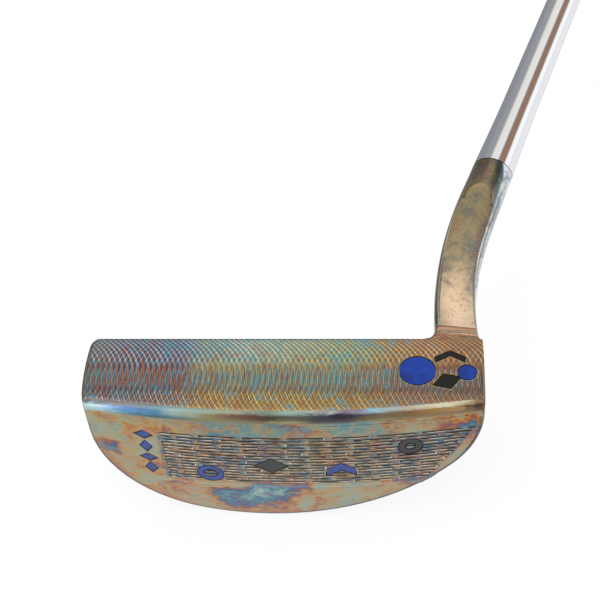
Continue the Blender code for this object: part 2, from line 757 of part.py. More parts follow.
def add_sight_line(head, root, mat):
    """White line in a groove along the flange's rib, bent to the sole's rocker."""
    def strip(name, half, low, high, start, end):
        bm = bmesh.new()
        rings = []
        for i in range(9):
            y = start + (end - start) * i / 8
            base = sole_z(0, y) + FLANGE_THICKNESS + RIB_HEIGHT
            rings.append([(half, y, base + low), (half, y, base + high),
                          (-half, y, base + high), (-half, y, base + low)])
        loops = skin(bm, rings)
        bm.faces.new(loops[0])
        bm.faces.new(loops[-1])
        return mesh_from(bm, name)

    end = SIGHT_START + SIGHT_LENGTH
    half = SIGHT_WIDTH / 2
    slot = new_object("sight_slot", strip("sight_slot", half, -SIGHT_DEPTH, 2 * MM,
                                          SIGHT_START, end), None, root)
    cut(head, slot)
    new_object("sight_line_fill", strip(
        "sight_line_fill", half - FILL_GAP, FILL_GAP - SIGHT_DEPTH, -FILL_SINK,
        SIGHT_START + FILL_GAP, end - FILL_GAP), mat, root)


build()
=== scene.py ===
import json
import math

import bmesh
import bpy
from mathutils import Euler, Matrix, Vector


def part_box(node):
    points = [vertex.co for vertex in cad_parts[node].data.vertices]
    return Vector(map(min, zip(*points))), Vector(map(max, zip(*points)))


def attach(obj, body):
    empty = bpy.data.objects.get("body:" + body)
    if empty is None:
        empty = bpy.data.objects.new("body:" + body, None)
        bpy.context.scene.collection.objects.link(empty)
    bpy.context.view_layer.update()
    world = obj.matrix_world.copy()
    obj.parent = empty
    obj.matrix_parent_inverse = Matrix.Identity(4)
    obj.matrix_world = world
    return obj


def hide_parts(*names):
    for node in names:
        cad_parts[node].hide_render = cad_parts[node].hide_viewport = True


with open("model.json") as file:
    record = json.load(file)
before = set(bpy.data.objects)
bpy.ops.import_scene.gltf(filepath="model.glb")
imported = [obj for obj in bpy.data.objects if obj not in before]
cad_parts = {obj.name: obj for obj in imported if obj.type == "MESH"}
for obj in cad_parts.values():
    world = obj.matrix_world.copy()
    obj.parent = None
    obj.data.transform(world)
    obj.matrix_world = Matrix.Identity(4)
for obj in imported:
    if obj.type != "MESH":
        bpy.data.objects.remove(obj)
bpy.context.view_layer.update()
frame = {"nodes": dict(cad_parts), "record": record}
nodes = frame["nodes"]
mounts = {mount["name"]: mount for mount in frame["record"]["mounts"]}
slots = {entry["node"]: entry["material_slot"] for entry in frame["record"]["subparts"]}
mm = 0.001
print("frame loaded with", len(nodes), "nodes")

# the head's own axes: X runs from toe to heel, Y from the face to the rear, Z up the face
faceSpot = Vector((-5, 0, -12)) * mm  # where the face's mount lies, from the middle of the top line
depthAxis = -Vector(mounts["striking_face"]["axis"])
toeAxis = Vector((1, 0, 0))
headTurn = Matrix((toeAxis, depthAxis, toeAxis.cross(depthAxis))).transposed()
headPlace = Vector(mounts["striking_face"]["pos_m"]) - headTurn @ faceSpot
headFrame = Matrix.Translation(headPlace) @ headTurn.to_4x4()
worldTurn = headTurn.transposed()  # from the world's axes to the head's
shaftAxis = Vector(mounts["butt_end"]["axis"])
shaftEnd = Vector(mounts["butt_end"]["pos_m"])


# formulas that work in shader trees and geometry trees alike


def formula(operation):  # a Math node as a function of fields and numbers
    return lambda *values: calc(operation, *values)


class Field:  # a node's output that can be used in sums
    def __init__(self, socket):
        self.socket = socket
        self.tree = socket.id_data

    __add__ = formula("ADD")
    __sub__ = formula("SUBTRACT")
    __mul__ = formula("MULTIPLY")
    __truediv__ = formula("DIVIDE")
    __pow__ = formula("POWER")

    def __rsub__(self, other):
        return calc("SUBTRACT", other, self)

    def __neg__(self):
        return self * -1


def feed(socket, value):  # links a field to a socket, or sets a plain value on it
    if isinstance(value, Field):
        socket.id_data.links.new(value.socket, socket)
    else:
        socket.default_value = value


def addNode(tree, kind, inputs=None, **settings):
    step = tree.nodes.new(kind)
    for name, value in settings.items():
        setattr(step, name, value)
    for name, value in (inputs or {}).items():
        feed(step.inputs[name], value)
    return step


def newField(tree, kind, inputs=None, output=0, **settings):  # one output of a new node
    return Field(addNode(tree, kind, inputs, **settings).outputs[output])


def outputsOf(step):
    return {output.name: Field(output) for output in step.outputs}


def treeOf(values):
    return next(value.tree for value in values if isinstance(value, Field))


def calc(operation, *values):
    return newField(treeOf(values), "ShaderNodeMath", dict(enumerate(values)), operation=operation)


def vectorCalc(operation, *values, output=0):  # output 1 is the single number that some of them give
    return newField(treeOf(values), "ShaderNodeVectorMath", dict(enumerate(values)), output,
                    operation=operation)


part, root, size = formula("FRACT"), formula("SQRT"), formula("ABSOLUTE")
largest, smallest = formula("MAXIMUM"), formula("MINIMUM")
above, below = formula("GREATER_THAN"), formula("LESS_THAN")


def ramp(value, low, high, start=0, end=1):  # a soft step from start to end
    return newField(value.tree, "ShaderNodeMapRange", {
        "Value": value, "From Min": low, "From Max": high, "To Min": start, "To Max": end,
    }, interpolation_type="SMOOTHSTEP")


def fall(value, low, high, start=1):
    return ramp(value, low, high, start, 0)


def band(value, low, full, end, high):  # rises from low to full, and falls from end to high
    return ramp(value, low, full) * fall(value, end, high)


def swing(pattern, amount):  # a noise as a push to either side
    return (pattern - 0.5) * amount


def split(vector):
    return list(outputsOf(addNode(vector.tree, "ShaderNodeSeparateXYZ", {0: vector})).values())


def join(*values):
    return newField(treeOf(values), "ShaderNodeCombineXYZ", dict(enumerate(values)))


def curve(value, places):  # a smooth curve through places, each a pair from 0 to 1
    step = addNode(value.tree, "ShaderNodeFloatCurve", {"Value": value})
    line = step.mapping.curves[0]
    for point, place in zip(line.points, (places[0], places[-1])):
        point.location = place
    for place in places[1:-1]:
        line.points.new(*place)
    step.mapping.update()
    return Field(step.outputs[0])


def noise(vector, scale, detail=3, roughness=0.55, distortion=0, stretch=None, output=0):
    if stretch:
        vector = vectorCalc("MULTIPLY", vector, stretch)
    return newField(vector.tree, "ShaderNodeTexNoise", {
        "Vector": vector, "Scale": scale, "Detail": detail, "Roughness": roughness,
        "Distortion": distortion,
    }, output)


def linear(colour):  # red, green and blue from 0 to 255 as Blender's scene colour, fields as they are
    if isinstance(colour, Field):
        return colour
    levels = [value / 255 for value in colour]
    return [level / 12.92 if level <= 0.04045 else ((level + 0.055) / 1.055) ** 2.4
            for level in levels] + [1]


def mix(share, first, second):
    return newField(share.tree, "ShaderNodeMix", {"Factor": share, 6: linear(first), 7: linear(second)}, 2,
                    data_type="RGBA")


def coated(colour, *coats):  # lays each coat, a mask and a colour, over the ones before it
    for mask, coat in coats:
        colour = mix(mask, colour, coat)
    return colour


def vivid(colour, saturation, value):
    return newField(colour.tree, "ShaderNodeHueSaturation",
                    {"Color": colour, "Saturation": saturation, "Value": value})


def colourRamp(value, stops):
    step = addNode(value.tree, "ShaderNodeValToRGB", {0: value})
    scale = step.color_ramp
    while len(scale.elements) < len(stops):
        scale.elements.new(0.5)
    for element, (place, colour) in zip(scale.elements, stops):
        element.position = place
        element.color = linear(colour)
    return Field(step.outputs[0])


def newGroup(name, inputs, outputs, kind="ShaderNodeTree"):
    tree = bpy.data.node_groups.new(name, kind)
    for labels, way in ((inputs, "INPUT"), (outputs, "OUTPUT")):
        for label, socket in labels.items():
            tree.interface.new_socket(label, in_out=way, socket_type="NodeSocket" + socket)
    return tree, outputsOf(tree.nodes.new("NodeGroupInput")), tree.nodes.new("NodeGroupOutput")


def useGroup(group, **values):
    return outputsOf(addNode(treeOf(values.values()), "ShaderNodeGroup", values, node_tree=group))


def addObject(name, data):
    thing = bpy.data.objects.new(name, data)
    bpy.context.scene.collection.objects.link(thing)
    return thing


# camera, floor and light

cameraView = {
    "place": (36.27, -269.39, -234.57),  # mm, on the head's axes
    "turn": (132.6, -3.366, 3.88),  # degrees
    "lens": 78,
    "nearest": 0.01,
}


def addCamera(plan):
    camera = bpy.data.cameras.new("camera")
    camera.lens = plan["lens"]
    camera.clip_start = plan["nearest"]
    viewer = addObject("camera", camera)
    turn = Euler([math.radians(angle) for angle in plan["turn"]]).to_matrix().to_4x4()
    viewer.matrix_world = headFrame @ Matrix.Translation(Vector(plan["place"]) * mm) @ turn
    bpy.context.scene.camera = viewer


studio = {
    "floorSize": 12,
    "floorColour": (0.86, 0.86, 0.86, 1),
    "floorShadow": 0.12,  # share of the floor's look that the light on it gives
    "white": (255, 255, 255),
    "roomStrength": 1.25,
    "roomTones": [  # the room from its left side to its right
        (0, (120, 122, 126)), (0.27, (136, 139, 142)), (0.33, (150, 152, 154)),
        (0.4, (148, 151, 153)), (0.45, (172, 173, 172)), (0.475, (222, 216, 200)),
        (0.5, (232, 228, 216)), (0.6, (228, 227, 224)), (0.8, (246, 247, 248)), (1, (254, 255, 255)),
    ],
    "leftCard": (126, 130, 134),  # the floor behind the club's toe side, as reflections see it
    "cardSide": (-0.03, -0.01),  # metres from the shaft's line over which that card ends
    "cardFront": (-0.02, 0.03),  # and from the shaft's lower end
    "nearTone": (236, 240, 244),  # the toe side in front of the club is brighter
    "nearGlow": 0.55,
    "flagToward": (0.62, 0.57, 0.54),  # a warm dark panel to the right, above the far side
    "flagEdge": (0.945, 0.985),
    "flagTone": (146, 118, 100),
    "frontShade": 0.75,  # the side from which the club is looked at is darker
    "topGlow": 0.25,
    "lampPlace": (-0.15, -0.05, 1.1),  # metres from the head
    "lampPower": 5,
    "lampSize": 1.2,
    "lampShape": 0.6,
}


def addFloor(plan, shaftSpot):
    mesh = bpy.data.meshes.new("floor")
    half = plan["floorSize"] / 2
    mesh.from_pydata([(-half, -half, 0), (half, -half, 0), (half, half, 0), (-half, half, 0)],
                     [], [(0, 1, 2, 3)])
    material = bpy.data.materials.new("studioFloor")
    material.use_nodes = True
    tree = material.node_tree
    tree.nodes.clear()
    path = outputsOf(tree.nodes.new("ShaderNodeLightPath"))
    x, y = split(newField(tree, "ShaderNodeNewGeometry", output="Position"))[:2]
    aside = x * shaftAxis.y - y * shaftAxis.x - (shaftSpot.x * shaftAxis.y - shaftSpot.y * shaftAxis.x)
    card = fall(aside, *plan["cardSide"])
    card = card * ramp(y, *[shaftSpot.y + gap for gap in plan["cardFront"]]) * (1 - path["Is Camera Ray"])
    seen = largest(path["Is Camera Ray"], path["Is Glossy Ray"])
    seen = largest(seen, path["Is Transmission Ray"])
    glow = mix(card, plan["white"], plan["leftCard"])
    surface = newField(tree, "ShaderNodeMixShader", {
        0: seen * (1 - plan["floorShadow"]),
        1: newField(tree, "ShaderNodeBsdfDiffuse", {"Color": plan["floorColour"]}),
        2: newField(tree, "ShaderNodeEmission", {"Color": glow}),
    })
    addNode(tree, "ShaderNodeOutputMaterial", {"Surface": surface})
    mesh.materials.append(material)
    addObject("floor", mesh)


def addLamp(plan):
    light = bpy.data.lights.new("overhead", "AREA")
    light.shape = "RECTANGLE"
    light.size = plan["lampSize"]
    light.size_y = plan["lampSize"] * plan["lampShape"]
    light.energy = plan["lampPower"]
    lamp = addObject("overhead", light)
    lamp.location = headPlace + Vector(plan["lampPlace"])
    lamp.rotation_euler = (headPlace - lamp.location).to_track_quat("-Z", "Y").to_euler()
    lamp.visible_glossy = False


def addRoom(plan):
    world = bpy.data.worlds.new("room")
    bpy.context.scene.world = world
    world.use_nodes = True
    tree = world.node_tree
    sky = tree.nodes["Background"]
    toward = newField(tree, "ShaderNodeTexCoord", output="Generated")
    x, y, z = split(toward)
    facing = vectorCalc("DOT_PRODUCT", toward, Vector(plan["flagToward"]).normalized(), output=1)
    nearToe = fall(x, -0.3, -0.12) * largest(fall(y, 0, 0.35), ramp(z, 0.64, 0.8))
    tone = coated(
        colourRamp(x * 0.5 + 0.5, plan["roomTones"]),
        (ramp(facing, *plan["flagEdge"]), plan["flagTone"]),
        (nearToe, plan["nearTone"]))
    level = ramp(y, -0.7, -0.2, plan["frontShade"], 1) + ramp(z, 0.7, 0.95, 0, plan["topGlow"])
    level = level + nearToe * plan["nearGlow"]
    seen = newField(tree, "ShaderNodeLightPath", output="Is Camera Ray")
    feed(sky.inputs["Color"], mix(seen, tone, plan["white"]))
    feed(sky.inputs["Strength"], level * plan["roomStrength"] * (1 - seen) + seen)


addCamera(cameraView)
addRoom(studio)
addFloor(studio, shaftEnd - shaftAxis * ((shaftEnd.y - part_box("shaft")[0][1]) / shaftAxis.y))
addLamp(studio)
bpy.context.scene.view_settings.view_transform = "Standard"
print("camera and studio ready")


# what several finishes share


def buildHeadSpace():  # millimetres on the head's own axes, and the scratches and pits there
    tree, start, end = newGroup("headSpace", {"Position": "Vector"},
                                {"Place": "Vector", "Scratch": "Float", "Grain": "Float"})
    place = newField(tree, "ShaderNodeMapping", {
        "Vector": start["Position"], "Location": headPlace, "Rotation": headFrame.to_euler(),
        "Scale": (mm, mm, mm),
    }, vector_type="TEXTURE")
    feed(end.inputs["Place"], place)
    feed(end.inputs["Scratch"], noise(place, 1.2, 3, stretch=(0.5, 6, 6)))
    feed(end.inputs["Grain"], noise(place, 5, 3, 0.7))
    return tree


headSpace = buildHeadSpace()


def newFinish(name, look, *settings):  # look gives what each socket of the Principled shader takes
    material = bpy.data.materials.new(name)
    material.use_nodes = True
    tree = material.node_tree
    where = newField(tree, "ShaderNodeTexCoord", output="Object")
    for label, value in look(where, *settings).items():
        feed(tree.nodes["Principled BSDF"].inputs[label], value)
    return material


def bump(height, distance, strength):
    return newField(height.tree, "ShaderNodeBump",
                    {"Height": height, "Distance": distance, "Strength": strength})


# the head's steel

headSizes = {
    "toe": -54, "heel": 54.6,
    "leadingRound": 2.7, "leadingTop": -21,
    "rimMiddle": 8, "rimSpan": 60, "rimSteps": 24, "rimTop": -5,
    "neckRoot": 1, "neckTop": 60, "neckSteps": 12, "neckNear": 36, "neckSpan": 32,
    "grooveLow": 1.5, "grooveHigh": 4,
}
steelShine = {
    "metallic": 0.85,
    "bump": 0.00002, "bumpStrength": 0.5,
}
smoothing = {
    "merge": 0.002,  # mm
    "head": 16, "rest": 30, "skin": 60,  # degrees past which an edge stays sharp
}
# oxide colours that a torch leaves on steel, from the coolest spot to the hottest
oxideStops = [
    (0, (138, 152, 144)), (0.16, (150, 156, 136)), (0.27, (160, 150, 120)), (0.37, (172, 144, 108)),
    (0.46, (170, 128, 92)), (0.53, (154, 102, 78)), (0.59, (122, 86, 92)), (0.65, (84, 90, 122)),
    (0.73, (70, 106, 132)), (0.83, (98, 138, 148)), (1, (168, 184, 174)),
]
# where the flame stayed: x, y, z of the middle, its reach, and how much hotter it left the steel
torchSpots = [
    (-6, 36, -27, 11, 0.38), (3, 33, -27, 7, 0.26), (-16, 40, -26, 8, 0.3), (9, 41, -26, 6, 0.2),
    (-30, 8, -28, 5, 0.16), (-17, 8, -28, 5, 0.22), (24, 9, -28, 6, 0.12), (51, 9, -24, 7, 0.44),
    (-50, 18, -24, 6, 0.36), (38, 32, -26, 9, 0.4), (-21, 23, -28, 9, 0.42), (-5, 17, -28, 10, 0.4),
    (33, 14, -28, 10, 0.4), (44, 14, -27, 8, 0.34), (12, 17, -28, 8, 0.2), (-35, 5, -28, 8, -0.06),
    (-40, 24, -26, 12, -0.04), (-41, 11, -26, 6, 0.14), (-24, 9, -28, 5, 0.1), (-37, 27, -26, 8, 0.15),
    (-30, 34, -26, 6, 0.14),
]
torchDrift = 14.0  # mm by which the clouds wander
# colours along the leading edge, in mm from toe to heel: next to the face, halfway, next to the sole
edgeTints = [
    (-51, (98, 104, 106), (186, 212, 218), (172, 198, 200)),
    (-43, (122, 110, 104), (107, 142, 194), (89, 152, 165)),
    (-35, (104, 132, 142), (70, 112, 141), (67, 100, 116)),
    (-27, (130, 154, 150), (142, 160, 151), (83, 118, 122)),
    (-20, (140, 154, 138), (140, 124, 90), (130, 127, 87)),
    (-12, (158, 162, 142), (126, 93, 75), (132, 122, 96)),
    (-4, (120, 138, 122), (88, 72, 59), (116, 104, 84)),
    (3, (154, 176, 168), (101, 106, 92), (150, 144, 108)),
    (10, (166, 182, 176), (74, 79, 85), (82, 76, 78)),
    (18, (132, 108, 130), (48, 48, 68), (78, 72, 76)),
    (25, (138, 182, 204), (122, 110, 88), (134, 124, 92)),
    (33, (166, 160, 154), (127, 101, 69), (120, 108, 84)),
    (41, (194, 194, 172), (169, 128, 72), (128, 112, 84)),
    (48, (196, 192, 164), (166, 140, 100), (130, 108, 78)),
    (52, (120, 100, 76), (78, 60, 46), (96, 78, 60)),
]
# colours up the neck, from its root to the shaft: toe side, middle and heel side of its flat
neckTints = [
    (0, (130, 112, 100), (160, 116, 96), (120, 104, 92)),
    (0.05, (196, 178, 160), (226, 190, 168), (206, 184, 160)),
    (0.1, (214, 196, 172), (244, 212, 184), (222, 206, 178)),
    (0.2, (214, 194, 166), (246, 212, 178), (218, 196, 162)),
    (0.34, (184, 164, 138), (204, 176, 148), (154, 142, 128)),
    (0.48, (150, 132, 104), (156, 142, 112), (108, 108, 108)),
    (0.62, (126, 110, 84), (142, 128, 100), (92, 84, 78)),
    (0.76, (134, 120, 90), (134, 126, 94), (122, 112, 88)),
    (0.84, (156, 134, 98), (140, 128, 92), (108, 100, 82)),
    (0.9, (120, 110, 84), (118, 108, 82), (86, 80, 70)),
    (1, (96, 90, 74), (94, 88, 74), (70, 66, 62)),
]
# the painted reflection along the neck's heel side, from its root to the shaft
heelReflectionTints = [
    (0, (212, 206, 192)), (0.15, (226, 218, 198)), (0.35, (204, 202, 194)), (0.55, (194, 198, 198)),
    (0.7, (166, 174, 182)), (0.82, (180, 190, 196)), (1, (214, 222, 230)),
]
# the groove at the neck's root, from below it to above it
grooveTints = [
    (0, (126, 88, 64)), (0.1, (220, 176, 156)), (0.17, (210, 168, 148)), (0.25, (120, 92, 78)),
    (0.32, (208, 170, 152)), (0.38, (128, 124, 108)), (0.47, (152, 140, 120)), (0.55, (190, 134, 114)),
    (0.61, (184, 124, 104)), (0.69, (126, 98, 80)), (0.77, (138, 114, 92)), (0.81, (240, 222, 196)),
    (0.9, (220, 190, 164)),
]


def headEdges():  # the head's edges, each a pair of points in mm on its own axes
    mesh = nodes["putter_head"].data
    spots = [worldTurn @ (point.co - headPlace) / mm for point in mesh.vertices]
    return [[spots[end] for end in edge.vertices] for edge in mesh.edges]


def neckSides(plan):  # the neck's outline on the toe side and the heel side, at heights along it
    edges = headEdges()
    rows = []
    for step in range(plan["neckSteps"] + 1):
        climb = step / plan["neckSteps"]
        height = plan["neckRoot"] + (plan["neckTop"] - plan["neckRoot"]) * climb
        found = [one.lerp(other, (height - one.z) / (other.z - one.z)).x for one, other in edges
                 if (one.z - height) * (other.z - height) < 0]
        rows.append((climb, min(found), max(found)))
    return rows


def rimReach(plan):  # how far the head reaches below its top line, in each direction from a middle point
    edges = [(one, other) for one, other in headEdges() if max(one.z, other.z) < plan["rimTop"]]
    rows = []
    for step in range(plan["rimSteps"] + 1):
        angle = math.pi * step / plan["rimSteps"]
        way = Vector((math.cos(angle), math.sin(angle)))
        found = []
        for edge in edges:
            first, second = (Vector((spot.x, spot.y - plan["rimMiddle"])) for spot in edge)
            side, far = way.cross(first), way.cross(second)
            if side * far < 0:
                found.append(way.dot(first.lerp(second, side / (side - far))))
        rows.append((step / plan["rimSteps"], max(found) / plan["rimSpan"]))
    return rows


def alongHead(x, tints, column):  # one column of a colour list whose places are millimetres
    low, span = headSizes["toe"], headSizes["heel"] - headSizes["toe"]
    return colourRamp((x - low) / span, [((row[0] - low) / span, row[column]) for row in tints])


def torchedColour(place):  # heat colours in clouds, with the hot spots above; the clouds too
    drift = noise(place, 0.12, 4, 0.6, output=1)
    warped = vectorCalc("MULTIPLY_ADD", drift, (torchDrift,) * 3, place)
    cloud = noise(warped, 0.075, 5, 0.62, 0.6)
    wisp = noise(warped, 0.35, 4, 0.6, 1.2, (0.35, 1, 1))
    speck = noise(place, 1.1, 5, 0.7)
    haze = noise(warped, 0.3, 4, 0.62, 0.8, (0.3, 1, 1))
    level = cloud * 1.25 + wisp * 0.6 - 0.59
    for *spot, reach, hotter in torchSpots:
        gap = vectorCalc("DISTANCE", warped, [value + torchDrift / 2 for value in spot], output=1)
        level = level + fall(gap, reach * 0.3, reach, hotter)
    x, y = split(warped)[:2]
    front = fall(y, 15, 17.5) * band(x, -22, -10, 34, 46)
    colour = coated(
        colourRamp(level + swing(speck, 0.34), oxideStops),
        (front * ramp(haze, 0.4, 0.56, 0.25, 0.85), (92, 130, 134)),
        (front * ramp(haze, 0.58, 0.68, 0, 0.6), (52, 100, 130)),
        (ramp(haze + swing(speck, 0.3), 0.5, 0.64, 0, 0.5), (112, 140, 138)),
        (ramp(haze + swing(speck, 0.5), 0.42, 0.3, 0, 0.6), (150, 92, 62)))
    rich = largest(ramp(y, 14, 22, 1.16, 1.04), ramp(x, -36, -26, 1.1, 1))
    return vivid(colour, rich, 1), cloud


def neckColour(place, plan):
    x, z = split(place)[::2]
    climb = (z - plan["neckRoot"]) / (plan["neckTop"] - plan["neckRoot"])
    near, span, rows = plan["neckNear"], plan["neckSpan"], neckSides(plan)
    toeSide, heelSide = (curve(climb, [(row[0], (row[side] - near) / span) for row in rows]) * span + near
                         for side in (1, 2))
    fromToe, fromHeel = x - toeSide, heelSide - x
    share = fromToe / (fromToe + fromHeel)
    patch = noise(place, 0.22, 3, 0.6, 0.6)
    streak = noise(place, 0.9, 5, 0.72, 0.4, (1, 1, 0.7))
    fleck = noise(place, 2.6, 4, 0.75)
    brushed = noise(place, 2.2, 5, 0.72, 0.5, (0.9, 1.6, 1.6))
    worked = noise(place, 0.55, 4, 0.68, 0.6, (1.2, 1.2, 0.45))
    dash = noise(place, 0.8, 2, stretch=(0.5, 0.3, 0.3))
    height = climb + swing(patch, 0.16) + swing(fleck, 0.14)
    tints = [colourRamp(height, [(row[0], row[column]) for row in neckTints]) for column in (1, 2, 3)]
    spread = share + swing(streak, 0.6)
    bluish = ramp(patch + swing(fleck, 0.3) + swing(share, 0.12), 0.42, 0.7, 0, 0.7)
    lively = streak + swing(fleck, 0.35)
    violet = ramp(patch + swing(streak, 0.8), 0.56, 0.7) * ramp(climb, 0.02, 0.08) * ramp(climb, 0.42, 0.3)
    colour = coated(
        tints[0],
        (ramp(spread, 0.12, 0.42), tints[1]),
        (ramp(spread, 0.58, 0.86), tints[2]),
        (bluish * ramp(climb, 0.12, 0.4), (72, 98, 106)),
        (ramp(lively, 0.46, 0.74, 0, 0.6), (178, 108, 68)),
        (ramp(lively, 0.52, 0.28, 0, 0.5), (150, 148, 98)),
        (ramp(brushed, 0.47, 0.32, 0, 0.5), (204, 180, 132)),
        (ramp(brushed, 0.54, 0.72, 0, 0.55), (84, 72, 60)),
        (violet * 0.45, (168, 118, 150)))
    # the toe side is dark, a painted dark reflection, with a painted highlight along its corner; the heel
    # side gets a light painted reflection behind a copper and teal corner
    ragged = swing(streak, 0.5)
    wearAndHighlight = band(fromToe + ragged * 0.5, 0.8, 0.98, 1.05, 1.3) * band(climb, 0.02, 0.08, 0.74, 0.86)
    wide = ramp(climb, 0.1, 0.5, 0.45, 1.45) + ramp(climb, 0.66, 0.95, 0, 0.6)
    inward = fromHeel + ragged * 0.6 - wide
    heelReflection = coated(
        colourRamp(climb, heelReflectionTints),
        (ramp(worked, 0.48, 0.6, 0, 0.75), (112, 138, 150)),
        (ramp(worked, 0.46, 0.36, 0, 0.8), (232, 218, 190)))
    shadow = band(fromHeel + ragged * 0.3, 0.3, 0.5, 0.6, 0.85) * band(climb, 0.3, 0.42, 0.76, 0.9)
    copper = band(inward, 0, 0.15, 0.25, 0.55) * ramp(climb, 0.7, 0.84, 0.8, 0.25)
    dusk = band(inward, -0.1, 0.2, 1.5, 2.3) * ramp(climb, 0.74, 0.86)
    colour = coated(
        vivid(colour, 0.92, 0.95),
        (fall(fromToe + ragged, 0.75, 1.05) * 0.9, (84, 86, 76)),
        (wearAndHighlight * 0.85, (232, 216, 176)),
        (fall(inward, -0.25, 0.05) * 0.92, heelReflection),
        (shadow * 0.7, (96, 92, 108)),
        (band(inward, -0.45, -0.2, 0, 0.25) * 0.75, (70, 92, 106)),
        (copper * 0.6, (134, 84, 54)),
        (dusk * ramp(worked, 0.38, 0.55, 0.35, 0.85), (62, 84, 92)))
    # a shallow groove rings the neck's root: a cream upper edge, a copper hollow, dark dashes and a pink line
    groove = z + ramp(share, 0.1, 0.95, 0, 0.7) + swing(fleck, 0.25) - plan["grooveLow"]
    dash = ramp(dash, 0.44, 0.5) * band(groove, 0.7, 0.85, 1.1, 1.25)
    return coated(
        colour,
        (fall(groove, 3.25, 3.45, 0.92), colourRamp(groove / plan["grooveHigh"], grooveTints)),
        (ramp(streak, 0.42, 0.6, 0, 0.5) * fall(groove, 2.6, 3), (150, 128, 104)),
        (dash * 0.9, (58, 46, 44)))


def buildHeadColour(plan):  # the whole head's colour by place: leading edge, sole and rim, neck
    tree, start, end = newGroup("headColour", {"Place": "Vector"}, {"Color": "Color"})
    place = start["Place"]
    x, y, z = split(place)
    torched, cloud = torchedColour(place)
    lick = noise(place, 0.6, 4, 0.62, 0.8, (0.22, 1, 1))
    blot = noise(place, 0.9, 4, 0.65)
    wander = x + swing(lick, 16) + swing(blot, 5)
    turn = y / plan["leadingRound"] + swing(lick, 0.55)
    tints = [alongHead(wander, edgeTints, column) for column in (1, 2, 3)]
    edgeColour = coated(tints[0], (ramp(turn, 0.05, 0.3), tints[1]), (ramp(turn, 0.35, 0.8), tints[2]))
    edge = fall(y, plan["leadingRound"] - 0.5, plan["leadingRound"] + 0.7)
    edge = edge * fall(z, plan["leadingTop"] - 1.5, plan["leadingTop"] + 1)
    # nearly black: the toe's side, as a painted dark reflection, and the edge behind the sole
    normal = newField(tree, "ShaderNodeNewGeometry", output="Normal")
    aside = split(normal)[0]
    upward = vectorCalc("DOT_PRODUCT", normal, headTurn.col[2], output=1) + swing(blot, 0.06)
    behind = ramp(upward, -0.95, -0.88) * ramp(y, 7, 10) * ramp(z, 0.5, -0.5)
    darkToeAndRear = largest(ramp(aside + swing(blot, 0.5), -0.42, -0.72), behind) * 0.85
    # a thin dark line runs round the sole's rim, with rust inside it
    ahead = y - plan["rimMiddle"]
    angle = calc("ARCTAN2", ahead, x) / math.pi
    inset = curve(angle, rimReach(plan)) * plan["rimSpan"] - root(x * x + ahead * ahead)
    around = ramp(ahead, -1, 1.5) * ramp(z, -8, -9)
    rust = fall(inset + swing(blot, 3), 1.8, 4.5) * around * ramp(cloud, 0.4, 0.56, 0.15, 0.75)
    line = fall(inset + swing(blot, 0.8), 1.15, 1.6, 0.9) * around
    flank = ramp(aside + swing(blot, 0.3), 0.15, 0.35) * fall(y, 7, 12) * ramp(x, 44, 48)
    feed(end.inputs["Color"], coated(
        torched,
        (edge, edgeColour),
        (darkToeAndRear, (72, 60, 54)),
        (rust, (164, 108, 70)),
        (line, mix(ramp(lick, 0.45, 0.58), (58, 52, 56), (62, 88, 116))),
        (flank * 0.8, (96, 72, 50)),
        (ramp(z, plan["neckRoot"] - 1.2, plan["neckRoot"] - 0.9), neckColour(place, plan))))
    return tree


headColour = buildHeadColour(headSizes)


def steelBase(where, shine):  # the place on the head's axes, the head's colour there, wear and normal
    space = useGroup(headSpace, Position=where)
    colour = useGroup(headColour, Place=space["Place"])["Color"]
    scratch, grain = space["Scratch"], space["Grain"]
    normal = bump(scratch * 0.4 + grain * 0.6, shine["bump"], shine["bumpStrength"])
    return space["Place"], colour, scratch + grain, normal


def torchedSteel(where, shine):
    place, colour, wear, normal = steelBase(where, shine)
    height = split(place)[2]
    archHighlight = newField(where.tree, "ShaderNodeAttribute", output="Fac", attribute_name="archHighlight")
    # painted highlight on the round step above the neck's flat, lighter towards its top
    archGlint = archHighlight * ramp(height, 46.5, 50, 0.15, 1) * ramp(wear, 0.8, 1.2, 0.7, 1)
    return {
        "Base Color": mix(archGlint * 0.7, colour, (178, 148, 108)),
        "Metallic": shine["metallic"] - archGlint * 0.6,
        "Roughness": wear * 0.1 + archGlint * 0.2 + 0.12,
        "Normal": normal,
    }


def smoothCopy(node, name, angle, material):  # a CAD node's mesh, merged and shaded smooth
    mesh = nodes[node].data.copy()
    mesh.name = name
    shape = bmesh.new()
    shape.from_mesh(mesh)
    bmesh.ops.remove_doubles(shape, verts=shape.verts, dist=smoothing["merge"] * mm)
    shape.to_mesh(mesh)
    shape.free()
    mesh.attributes.remove(mesh.attributes["custom_normal"])
    mesh.shade_smooth()
    mesh.set_sharp_from_angle(angle=math.radians(angle))
    mesh.materials.clear()
    mesh.materials.append(material)
    piece = addObject(name, mesh)
    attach(piece, "root")
    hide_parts(node)
    return piece


archSizes = {
    "low": 43, "high": 52,  # mm up the face
    "down": (-0.31, 0.05, -0.95),
    "facing": 0.38,
}


def markArchHighlight(mesh, plan):  # marks the round step above the neck's flat, which gets a painted highlight
    values = []
    for face in mesh.polygons:
        height = (worldTurn @ (face.center - headPlace)).z / mm
        facing = (worldTurn @ face.normal).dot(Vector(plan["down"]))
        values.append(float(plan["low"] < height < plan["high"] and facing > plan["facing"]))
    mesh.attributes.new("archHighlight", "FLOAT", "FACE").data.foreach_set("value", values)


headBody = smoothCopy("putter_head", "headBody", smoothing["head"],
                      newFinish("torchedSteel", torchedSteel, steelShine))
markArchHighlight(headBody.data, archSizes)
print("head body ready")


# skins with real relief, which lie on the head where it is milled

skinSizes = {
    "rayReach": 3,  # mm from which a ray looks for the head's own surface
    "start": 0.5,  # how far the outside is first raised
    "merge": 0.001,
}


